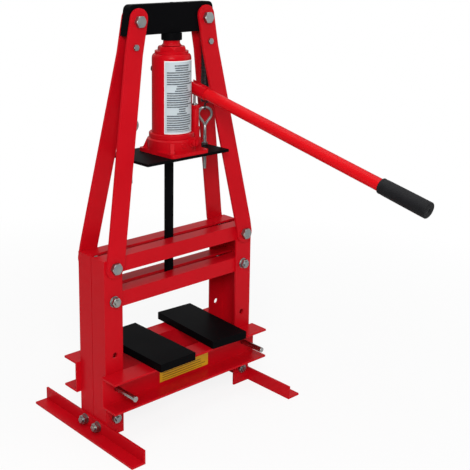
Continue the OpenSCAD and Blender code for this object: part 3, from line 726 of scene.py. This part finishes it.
def cutThread(name, tips, root, pitch, length, ridge, body):
    carrier = bpy.data.meshes.new(name)
    carrier.from_pydata([tuple(tip) for tip, _, _ in tips], [], [])
    inward = carrier.attributes.new("inward", "FLOAT_VECTOR", "POINT")
    inward.data.foreach_set("vector", [value for _, way, _ in tips for value in way])
    piece = grown(name, carrier, thread, {"Root": root * mm, "Pitch": pitch * mm, "Length": length * mm,
                                          "Ridge": ridge * mm, "Material": zincPlate})
    return addTo(piece, body)


allTips = [tip for name in boltThreads["nodes"] for tip in boltTips(name)]
for radius, (name, pitch) in boltThreads["families"].items():
    tips = [tip for tip in allTips if round(tip[2] / mm) == radius]
    ridge = pitch * boltThreads["ridge"]
    cutThread(name, tips, radius + boltThreads["proud"] - ridge, pitch, boltThreads["length"], ridge, "root")
print("threads cut on", len(allTips), "bolts")


def spun(name, profile, origin, axis, steps=64):
    # a turned solid: profile is a list of (distance along the axis, radius) in millimetres
    axis = axis.normalized()
    side = axis.orthogonal().normalized()
    other = axis.cross(side)
    verts, rings = [], []
    for along, radius in profile:
        count = steps if radius > 0 else 1
        rings.append(range(len(verts), len(verts) + count))
        for i in range(count):
            angle = 2 * math.pi * i / steps
            out = side * math.cos(angle) + other * math.sin(angle)
            verts.append(origin + (axis * along + out * radius) * mm)
    faces = []
    for near, far in zip(rings, rings[1:]):
        for i in range(steps):
            a, b = near[i % len(near)], near[(i + 1) % len(near)]
            c, d = far[(i + 1) % len(far)], far[i % len(far)]
            face = [v for k, v in enumerate((a, b, c, d)) if v not in (a, b, c, d)[:k]]
            if len(face) > 2:
                faces.append(face)
    mesh = bpy.data.meshes.new(name)
    mesh.from_pydata([tuple(v) for v in verts], [], faces)
    work = bmesh.new()
    work.from_mesh(mesh)
    bmesh.ops.recalc_face_normals(work, faces=work.faces)
    work.to_mesh(mesh)
    work.free()
    smoothShade(mesh)
    mesh.set_sharp_from_angle(angle=math.radians(50))
    return mesh


def arc(along, radius, bend, first, last, steps):
    # points of a rounded corner: its centre, its radius and its two angles, 90 standing outwards
    return [(along + bend * math.cos(math.radians(first + (last - first) * i / steps)),
             radius + bend * math.sin(math.radians(first + (last - first) * i / steps)))
            for i in range(steps + 1)]


eyeBolt = {
    "ring": 12.2, "wire": 4.8, "drop": 13.5,  # the eye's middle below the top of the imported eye
    "turn": -40.0,  # degrees that the eye's flat side is turned about its shank
    "apex": 19.8,  # the eye's middle down to where its wire meets
    "foot": [(0.7, 4.0), (0.9, -0.5)],  # ends of the wire: out from the middle and down from the apex
    "bend": 36, "rounds": 2, "sides": 16,
    "neck": 2.7, "root": 2.65, "crest": 3.1, "pitch": 1.0, "threadTop": 276.0, "ridge": 0.8,
    "point": 1.9, "chamfer": 0.6, "ease": 0.5, "shoulder": 1.5, "tipRadius": 1.6, "shankSides": 32,
}


def makeEyeBolt(side):
    node = "eye_bolt_" + side
    low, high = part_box(node)
    plan = eyeBolt
    middle = Vector(((low.x + high.x) / 2, (low.y + high.y) / 2, high.z - plan["drop"] * mm))
    across = Vector((math.cos(math.radians(plan["turn"])), math.sin(math.radians(plan["turn"])), 0))
    half = 90 - math.degrees(math.asin(plan["ring"] / plan["apex"]))  # where a straight side leaves the ring
    bend = [(plan["ring"] * math.cos(math.radians(a)), plan["ring"] * math.sin(math.radians(a)))
            for a in [half - 90 + (360 - 2 * half) * i / plan["bend"] for i in range(plan["bend"] + 1)]]
    foot = [(out, -plan["apex"] - down) for out, down in plan["foot"]]
    outline = foot + bend + [(-x, z) for x, z in reversed(foot)]
    path = rounded([middle + (across * x + Vector((0, 0, z))) * mm for x, z in outline], plan["rounds"])
    eye = grown(camel(node), wirePath(path), bentWire,
                {"Thickness": plan["wire"] * mm, "Sides": plan["sides"], "Material": zincPlate})
    bottom, top = low.z / mm, middle.z / mm - plan["apex"]
    profile = [(bottom, 0), (bottom, plan["point"]), (bottom + plan["chamfer"], plan["root"]),
               (plan["threadTop"], plan["root"]), (plan["threadTop"] + plan["ease"], plan["neck"]),
               (top - plan["shoulder"], plan["neck"]), (top, plan["tipRadius"]), (top + plan["ease"], 0)]
    shank = spun("shank", profile, Vector((middle.x, middle.y, 0)), Vector((0, 0, 1)), plan["shankSides"])
    work = bmesh.new()
    work.from_mesh(eye.data)
    work.from_mesh(shank)
    work.to_mesh(eye.data)
    work.free()
    bpy.data.meshes.remove(shank)
    standFor(eye, node)
    tip = Vector((middle.x, middle.y, (bottom + plan["chamfer"] / 2) * mm))
    ridge = (plan["crest"] - plan["root"]) * plan["ridge"]
    cutThread("thread" + side.capitalize() + "Eye", [(tip, Vector((0, 0, 1)), 0)], plan["crest"] - ridge,
              plan["pitch"], plan["threadTop"] - bottom - plan["chamfer"], ridge, "press")
    return middle


eyeMiddle = {side: makeEyeBolt(side) for side in ("left", "right")}

returnSpring = {
    "wire": 2.6, "coil": 6.7, "hook": 6.4, "pitch": 2.68,
    "lowTurn": 50.0, "topTurn": 0.0,  # degrees that each hook is turned about the spring's axis
    "lowSweep": (38, 319, 10), "topSweep": (-42, -323, -10),  # degrees round each hook
    "lead": 7.9,  # from a hook's middle to the first coil
    "steps": 16, "sides": 8,
    "fixedAt": 0.446, "movingAt": 0.336,  # heights in metres between which the wire stretches
}


def makeSpring(side):
    # lower hook, closed coil and upper hook in one wire
    node = "return_spring_" + side
    plan = returnSpring
    low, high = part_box(node)
    centre = Vector(((low.x + high.x) / 2, (low.y + high.y) / 2, 0))
    inset = (plan["hook"] + plan["wire"] / 2) * mm
    lowZ, topZ = low.z + inset, high.z - inset

    def hook(height, turn, sense, angles):
        way = Vector((math.cos(math.radians(turn)), math.sin(math.radians(turn)), 0))
        return [centre + Vector((0, 0, height)) + (way * math.sin(math.radians(a)) +
                Vector((0, 0, sense)) * math.cos(math.radians(a))) * plan["hook"] * mm for a in angles]

    lowHook = hook(lowZ, plan["lowTurn"], 1, range(*plan["lowSweep"]))
    topHook = hook(topZ, plan["topTurn"], -1, range(*plan["topSweep"]))
    startAngle, endAngle = plan["lowTurn"] + 180, plan["topTurn"] + 180
    bottom, top = lowZ + plan["lead"] * mm, topZ - plan["lead"] * mm
    turns = round((top - bottom) / mm / plan["pitch"]) + ((endAngle - startAngle) % 360) / 360 - 1
    count = round(turns * plan["steps"])
    coil = []
    for i in range(1, count):
        share = i / count
        angle = math.radians(startAngle + 360 * turns * share)
        coil.append(centre + Vector((math.cos(angle), math.sin(angle), 0)) * plan["coil"] * mm +
                    Vector((0, 0, bottom + (top - bottom) * share)))
    spring = grown(camel(node), wirePath(rounded(lowHook + coil + topHook)), bentWire,
                   {"Thickness": plan["wire"] * mm, "Sides": plan["sides"], "Material": coilSteel})
    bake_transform(spring)
    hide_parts(node)


for side in ("left", "right"):
    makeSpring(side)
print("springs and eye bolts wound")

lever = {
    "turn": -87.0, "slope": 14.6,  # degrees: the handle's direction from above, and how far it slopes down
    "rise": 3.3, "mouth": 45.0,
    "tube": 10.45, "gripFrom": 434.3, "gripTo": 522.3, "foamStart": 13.0, "foamEnd": 13.5,
    "corner": 1.5, "cornerSteps": 6, "clear": 0.1,
    "cap": 6.0,  # the foam past the end of the tube
    "boreFrom": 1.2, "rollFrom": 200,  # the bore's start from the mouth, and the rolled lip's first angle
    "lip": [(3.4, 0.1), (4.4, 0.45), (5.6, 0.4), (7.0, 0.0)],  # from the mouth, and how deep
    "steps": 72, "rings": 9,  # round the foam, and along it
    "plain": 4.0,  # the straight stretch before the end
    "vent": [(0, 3.4), (0.2, 2.6), (1.2, 1.9), (4.0, 1.6), (4.2, 0)],  # from the end, and radius
}
pivot = Vector(jointOf["pump_lever"]["pos_m"])
leverTurn, leverSlope = math.radians(lever["turn"]), math.radians(lever["slope"])
leverWay = Vector((math.cos(leverTurn) * math.cos(leverSlope), math.sin(leverTurn) * math.cos(leverSlope),
                   -math.sin(leverSlope)))
leverUp = Vector((math.cos(leverTurn) * math.sin(leverSlope), math.sin(leverTurn) * math.sin(leverSlope),
                  math.cos(leverSlope)))
leverAxis = pivot + leverUp * lever["rise"] * mm


def makeGrip():
    # moulded foam sleeve with a rolled lip at its mouth and an air hole in its end
    first, last, thin, thick = lever["gripFrom"], lever["gripTo"], lever["foamStart"], lever["foamEnd"]
    bore, parts = lever["tube"] + lever["clear"], lever["rings"]
    corner, steps = lever["corner"], lever["cornerSteps"]
    profile = [(last - lever["cap"], 0), (last - lever["cap"], bore), (first + lever["boreFrom"], bore)]
    profile += arc(first + corner, thin - corner, corner, lever["rollFrom"], 90, steps)
    profile += [(first + along, thin - deep) for along, deep in lever["lip"]]
    start = first + lever["lip"][-1][0]
    crowned = last - lever["plain"] - start
    for i in range(1, parts):
        swell = math.sin(math.pi * i / parts / 2)
        profile.append((start + crowned * i / parts, thin + (thick - thin) * swell))
    profile += arc(last - corner, thick - corner, corner, 90, 0, steps)
    profile += [(last - deep, radius) for deep, radius in lever["vent"]]
    mesh = spun("handleGrip", profile, leverAxis, leverWay, lever["steps"])
    mesh.materials.append(foam)
    standFor(linked("handleGrip", mesh), "handle_grip")


makeGrip()

plug = {
    # out from the casting, and radius: sides, rounded rim and the screw's recess
    "profile": [(-2.5, 0), (-2.5, 6.0), (0.7, 6.0), (1.3, 5.5), (1.5, 4.9), (1.3, 3.7), (-1.6, 3.4),
                (-2.2, 0)],
    "steps": 40,
}


def makePlug():
    # the checking valve's plug, set where the photograph shows it on the casting
    spot, normal = placeOn("ballPlug", [made["jackBase"]])
    mesh = spun("ballPlug", plug["profile"], spot, normal, plug["steps"])
    mesh.materials.append(jackPaint)
    addTo(linked("ballPlug", mesh), "press")
    return spot


plugSpot = makePlug()

rodWeld = {"bead": 1.9, "step": 1.5, "unevenness": 0.12, "seed": 7, "below": 0.9}


def makeRodWeld():
    low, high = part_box("press_rod")
    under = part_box("press_table")[0].z - rodWeld["below"] * mm
    corners = [(low.x, low.y), (high.x, low.y), (high.x, high.y), (low.x, high.y), (low.x, low.y)]
    piece = grown("rodWeld", wirePath([Vector((x, y, under)) for x, y in corners]), weld,
                  {"Bead": rodWeld["bead"] * mm, "Step": rodWeld["step"] * mm,
                   "Unevenness": rodWeld["unevenness"], "Seed": rodWeld["seed"], "Material": blackPaint})
    addTo(piece, "press")


makeRodWeld()
print("grip, plug and weld made")

studio = {
    "floor": -0.236,
    "under": 0.0002,  # the paper lies this far under the feet
    "size": 14.0,
    "ambient": 0.13,
    "mirrored": 1.0,
    "mirror": (1.5, 0.22),  # how fast the reflected room brightens upwards, and its level at the horizon
    "paper": 0.86,  # white shown to the camera beside the object, where the paper takes its shadow
    "fade": (0.45, 1.3),  # metres out over which the paper goes fully white
    "aim": (0.0, 0.0, 0.12),
    "key": {"place": (-1.6, -1.8, 1.4), "size": 1.1, "watts": 56},
    "fill": {"place": (1.9, -1.3, 0.8), "size": 1.6, "watts": 9},
    "top": {"place": (0.0, 0.1, 1.9), "size": 1.8, "watts": 22},
}


def makeFloor():
    half, height = studio["size"] / 2, studio["floor"] - studio["under"]
    corners = [(-half, -half, height), (half, -half, height), (half, half, height), (-half, half, height)]
    mesh = bpy.data.meshes.new("floor")
    mesh.from_pydata(corners, [], [(0, 1, 2, 3)])
    floor = bpy.data.objects.new("floor", mesh)
    bpy.context.scene.collection.objects.link(floor)
    bench = PaintBench("floorPaper")
    paper = bench.node("BsdfDiffuse", None, {"Color": (0.9, 0.9, 0.9, 1)})
    glow = bench.node("Emission", None, {"Color": (1, 1, 1, 1)})
    seen = bench.node("LightPath")
    near, far = studio["fade"]
    x, y, _ = bench.along(bench.place())
    out = bench.maths("SQRT", x * x + y * y)
    white = studio["paper"] + bench.clamp((out - near) / (far - near)) * (1 - studio["paper"])
    mixed = bench.node("MixShader", None, {0: seen * white, 1: paper, 2: glow})
    bench.node("OutputMaterial", None, {"Surface": mixed}, None)
    mesh.materials.append(bench.material)


def makeSky():
    # white to the camera, softer in reflections and as light
    world = bpy.data.worlds.new("softRoom")
    world.use_nodes = True
    bench = Bench(world.node_tree, "ShaderNode")
    bench.tree.nodes.clear()
    rays = bench.node("LightPath").socket.node.outputs
    seen = bench.maths("MAXIMUM", Wire(bench, rays["Is Camera Ray"]),
                       Wire(bench, rays["Is Transmission Ray"]))
    rise, horizon = studio["mirror"]
    height = bench.along(bench.node("TexCoord", output=0))[2]
    glossy = bench.node("Clamp", None, {"Value": height * rise + horizon}) * studio["mirrored"]
    seen = bench.maths("MAXIMUM", seen, Wire(bench, rays["Is Glossy Ray"]) * glossy)
    strength = seen * (1 - studio["ambient"]) + studio["ambient"]
    sky = bench.node("Background", None, {"Color": (1, 1, 1, 1), "Strength": strength})
    bench.node("OutputWorld", None, {"Surface": sky}, None)
    bpy.context.scene.world = world


def makeLamp(name):
    plan = studio[name]
    data = bpy.data.lights.new(name, "AREA")
    data.shape = "SQUARE"
    data.size = plan["size"]
    data.energy = plan["watts"]
    lamp = bpy.data.objects.new(name, data)
    lamp.location = plan["place"]
    towards = Vector(studio["aim"]) - Vector(plan["place"])
    lamp.rotation_euler = towards.to_track_quat("-Z", "Y").to_euler()
    bpy.context.scene.collection.objects.link(lamp)


makeFloor()
makeSky()
for lampName in ("key", "fill", "top"):
    makeLamp(lampName)
bpy.context.scene.view_settings.view_transform = "Standard"
print("stage set")

pinPitch = 0.0617  # from the bed pins up to the spare holes


def islandFace(name, wanted):
    # the middle of the front face of the one solid of a node that wanted picks
    low, high = next(box for box in map(boxOf, islands(nodes[name].data)) if wanted((box[0] + box[1]) / 2))
    return Vector(((low.x + high.x) / 2, low.y, (low.z + high.z) / 2))


def frontOf(name):
    low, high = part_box(name)
    return Vector(((low.x + high.x) / 2, low.y, (low.z + high.z) / 2))


def writePoints():
    pin, post = frontOf("bed_pin_left"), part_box("upright_front_left")[0]
    table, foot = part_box("press_table"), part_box("foot_left")
    places = {
        "crownBoltLeft": islandFace("crown_bolts", lambda mid: mid.x < 0),
        "crownBoltRight": islandFace("crown_bolts", lambda mid: mid.x > 0),
        "barBoltLeft": islandFace("bar_bolts", lambda mid: mid.x < 0 and mid.y < 0),
        "barBoltRight": islandFace("bar_bolts", lambda mid: mid.x > 0 and mid.y < 0),
        "spareHoleLeft": Vector((pin.x, post.y, pin.z + pinPitch)),
        "pinTipLeft": pin,
        "pinTipRight": frontOf("bed_pin_right"),
        "handleMouth": leverAxis + leverWay * lever["mouth"] * mm,
        "gripVent": leverAxis + leverWay * lever["gripTo"] * mm,
        "springEye": eyeMiddle["right"],
        "tableCorner": table[0],
        "footCorner": Vector((post.x, foot[0].y, foot[1].z)),
        "releaseScrew": frontOf("release_valve"),
        "ballPlug": plugSpot,
    }
    seen = [project(v.co) for piece in made.values() for v in piece.data.vertices]
    edges = {"leftEdge": min(seen), "rightEdge": max(seen), "topEdge": min(seen, key=lambda p: p[1]),
             "bottomEdge": max(seen, key=lambda p: p[1])}
    for name, (x, y) in imagePoints.items():
        at = edges[name] if name in edges else project(places[name])
        round(at[0] - x, 2)
        round(at[1] - y, 2)


writePoints()
